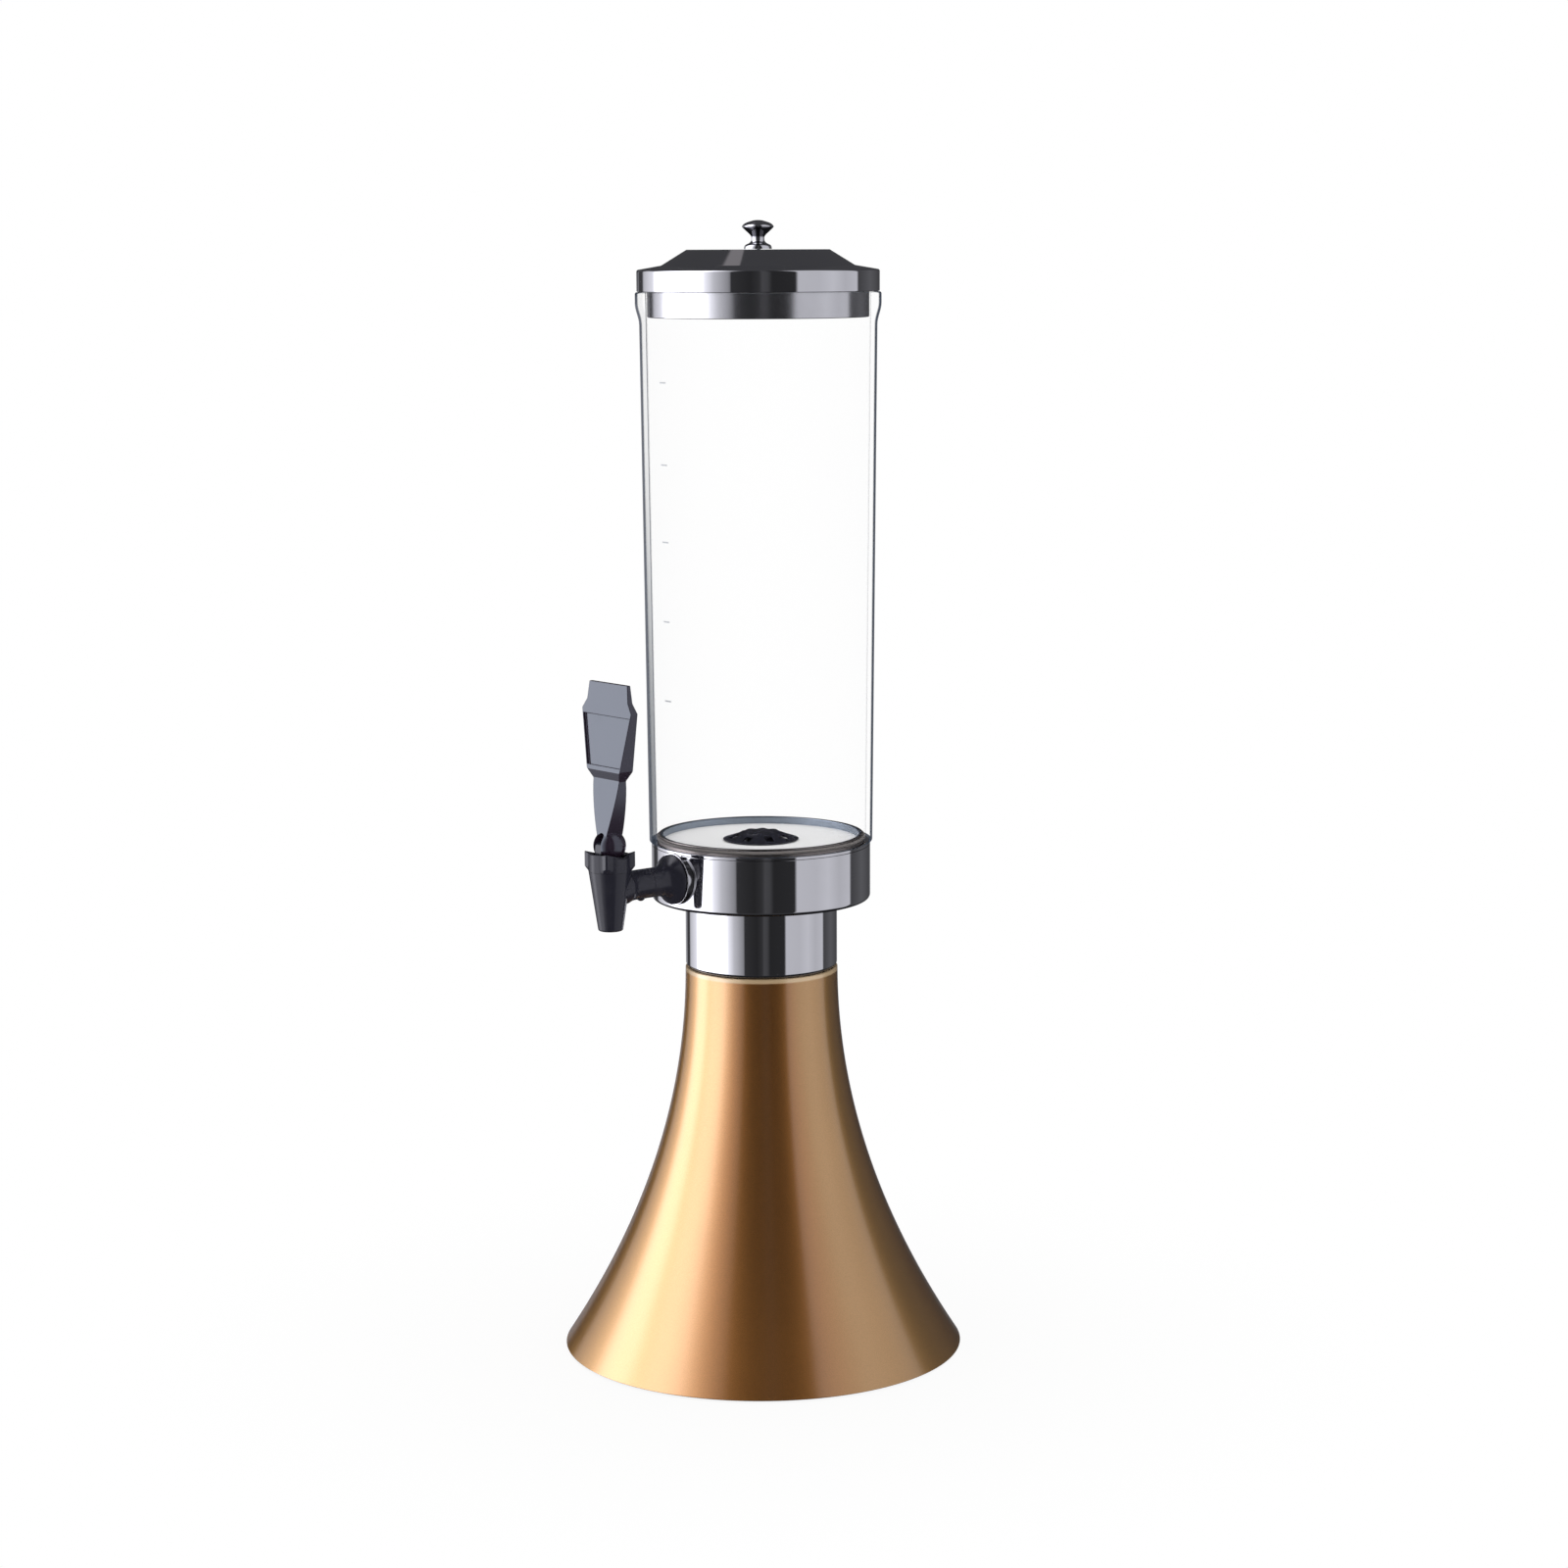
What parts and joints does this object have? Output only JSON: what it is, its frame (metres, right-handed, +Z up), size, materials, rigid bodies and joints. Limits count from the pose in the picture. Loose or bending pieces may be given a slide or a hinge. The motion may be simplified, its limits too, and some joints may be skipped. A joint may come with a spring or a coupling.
{
  "type": "beer tower dispenser",
  "caption": "Table-top drink tower: a clear reservoir on a chrome cup and a flared gold base, with a lift-off lid and a paddle-handled tap.",
  "frame": {"origin": "on the table under the tower's axis, at the level of the foot pads' undersides", "axes": "+Z up along the tower's axis; the tap stands out along -Y; +X to the right as seen from the tap's side"},
  "size_m": [0.2278, 0.2329, 0.6404],
  "materials": {
    "gold": "satin gold coat on spun metal",
    "chrome": "bright mirror",
    "steel": "plain bright steel",
    "iron": "rough casting, painted dark",
    "rubber": "matte black",
    "silicone": "milky, soft",
    "clear": "clear moulded plastic, polished",
    "black": "glossy black moulding"
  },
  "bodies": {
    "stand": {"base_shell": "gold", "neck_collar": "chrome", "cup_shell": "chrome", "floor_tray": "chrome", "bottom_plate": "steel", "tie_rod": "steel", "foot_washer": "steel", "foot_nut": "steel", "ballast_washer": "steel", "ballast_nut": "steel", "cup_washer": "steel", "cup_nut": "steel", "lower_disc": "steel", "upper_disc": "steel", "drain_hose_clip": "steel", "tap_hose_clip": "steel", "pivot_pin": "steel", "tap_saddle": "steel", "ballast_disc": "iron", "foot_pad_1": "rubber", "foot_pad_2": "rubber", "foot_pad_3": "rubber", "foot_pad_4": "rubber", "drain_gasket": "rubber", "tap_inner_saddle": "rubber", "tray_seal": "silicone", "outlet_hose": "silicone", "stem_seal": "silicone", "reservoir_tube": "clear", "drain_elbow": "black", "drain_strainer": "black", "tap_body": "black", "tap_nut": "black", "tap_bonnet": "black"},
    "lid": {"lid_shell": "chrome", "lid_plug": "chrome", "lid_knob": "chrome", "knob_screw": "steel", "lid_gasket": "silicone"},
    "handle": {"tap_handle": "black", "link_pin": "steel"},
    "valve": {"valve_stem": "steel", "seat_plug": "silicone"}
  },
  "joints": [
    {"name": "lid_lift", "type": "slide", "parent": "stand", "child": "lid", "axis": [0, 0, 1], "range_m": [0, 0.06]},
    {"name": "handle_pull", "type": "hinge", "parent": "stand", "child": "handle", "pos_m": [0, -0.113, 0.3024], "axis": [1, 0, 0], "range_deg": [0, 35], "stiffness_Nm_per_rad": 0.12, "springref_deg": -8.59},
    {"name": "valve_lift", "type": "slide", "parent": "stand", "child": "valve", "axis": [0, 0, 1], "range_m": [0, 0.0034]}
  ],
  "couplings": [
    {"joint": "valve_lift", "follows": "handle_pull", "m_per_rad": 0.0054}
  ]
}
